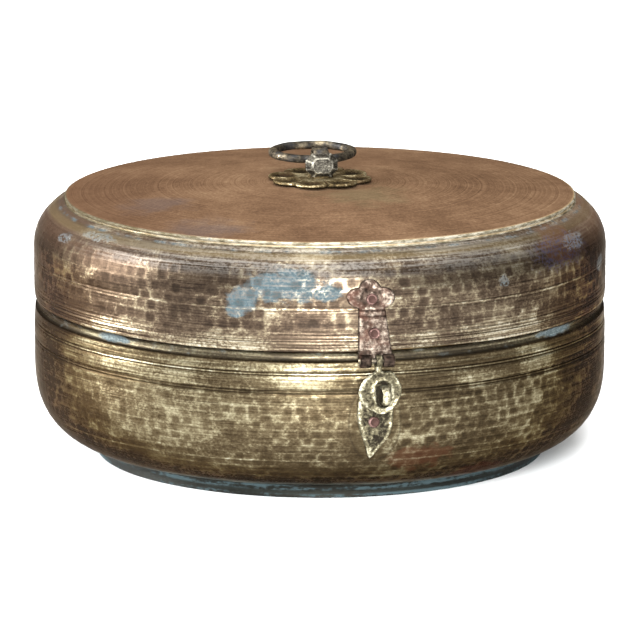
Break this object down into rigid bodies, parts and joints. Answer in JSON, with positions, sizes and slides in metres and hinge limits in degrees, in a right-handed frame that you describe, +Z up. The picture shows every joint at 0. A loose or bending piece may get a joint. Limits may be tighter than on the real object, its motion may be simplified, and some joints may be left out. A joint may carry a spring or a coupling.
{
  "type": "spice box",
  "caption": "Round hammered brass spice box with a hinged lid, front hasp and staple, ring handle, foot ring, inner spice cups and a spoon.",
  "frame": {"origin": "centre of the foot ring's underside, on the surface the box stands on", "axes": "+Z up; the hasp faces -Y and the lid's hinge is at +Y; +X is to the right seen from the hasp's side"},
  "size_m": [0.3172, 0.3383, 0.1693],
  "materials": {
    "base_brass": "hammered and turned, olive-gold with dark patina in the hollows",
    "lid_brass": "hammered, dark brown patina with worn golden edges and patches of verdigris; coppery turned top",
    "foot_verdigris": "dull brass under pale blue-green verdigris",
    "hardware_brass": "cast and filed, pale worn edges, dark in the hollows",
    "dark_bronze": "dark bronze with worn brown edges",
    "copper": "hammered copper rivet heads, worn pink",
    "inner_brass": "cleaner satin brass kept from the weather"
  },
  "bodies": {
    "base": {"base_bowl": "base_brass", "foot_ring": "foot_verdigris", "rim_collar": "inner_brass", "staple_plate": "hardware_brass", "staple": "hardware_brass", "plate_rivet": "copper", "hinge_leaf_base": "hardware_brass", "hinge_pin": "dark_bronze", "base_hinge_rivet_1": "copper", "base_hinge_rivet_2": "copper"},
    "lid": {"lid_shell": "lid_brass", "handle_rosette": "hardware_brass", "handle_post": "hardware_brass", "post_washer": "inner_brass", "hasp_strap": "hardware_brass", "hasp_pin": "dark_bronze", "hasp_rivet_lower": "copper", "hasp_rivet_upper": "copper", "hinge_leaf_lid": "hardware_brass", "lid_hinge_rivet_1": "copper", "lid_hinge_rivet_2": "copper"},
    "hasp": {"hasp_link": "hardware_brass"},
    "ring": {"handle_ring": "dark_bronze"},
    "cup_centre": {"cup_centre": "inner_brass"},
    "cup_1": {"cup_1": "inner_brass"},
    "cup_2": {"cup_2": "inner_brass"},
    "cup_3": {"cup_3": "inner_brass"},
    "cup_4": {"cup_4": "inner_brass"},
    "cup_5": {"cup_5": "inner_brass"},
    "cup_6": {"cup_6": "inner_brass"},
    "spoon": {"spoon": "inner_brass"}
  },
  "joints": [
    {"name": "lid_hinge", "type": "hinge", "parent": "base", "child": "lid", "pos_m": [0, 0.1631, 0.08745], "axis": [-1, 0, 0], "range_deg": [0, 105]},
    {"name": "hasp_swing", "type": "hinge", "parent": "lid", "child": "hasp", "pos_m": [0, -0.1628, 0.0835], "axis": [-1, 0, 0], "range_deg": [0, 115]},
    {"name": "ring_swing", "type": "hinge", "parent": "lid", "child": "ring", "pos_m": [0, 0, 0.1623], "axis": [1, 0, 0], "range_deg": [-12, 100]},
    {"name": "cup_centre_lift", "type": "slide", "parent": "base", "child": "cup_centre", "axis": [0, 0, 1], "range_m": [0, 0.083]},
    {"name": "cup_1_lift", "type": "slide", "parent": "base", "child": "cup_1", "axis": [0, 0, 1], "range_m": [0, 0.083]},
    {"name": "cup_2_lift", "type": "slide", "parent": "base", "child": "cup_2", "axis": [0, 0, 1], "range_m": [0, 0.083]},
    {"name": "cup_3_lift", "type": "slide", "parent": "base", "child": "cup_3", "axis": [0, 0, 1], "range_m": [0, 0.083]},
    {"name": "cup_4_lift", "type": "slide", "parent": "base", "child": "cup_4", "axis": [0, 0, 1], "range_m": [0, 0.083]},
    {"name": "cup_5_lift", "type": "slide", "parent": "base", "child": "cup_5", "axis": [0, 0, 1], "range_m": [0, 0.083]},
    {"name": "cup_6_lift", "type": "slide", "parent": "base", "child": "cup_6", "axis": [0, 0, 1], "range_m": [0, 0.083]},
    {"name": "spoon_lift", "type": "slide", "parent": "cup_centre", "child": "spoon", "axis": [0, 0, 1], "range_m": [0, 0.07]}
  ]
}
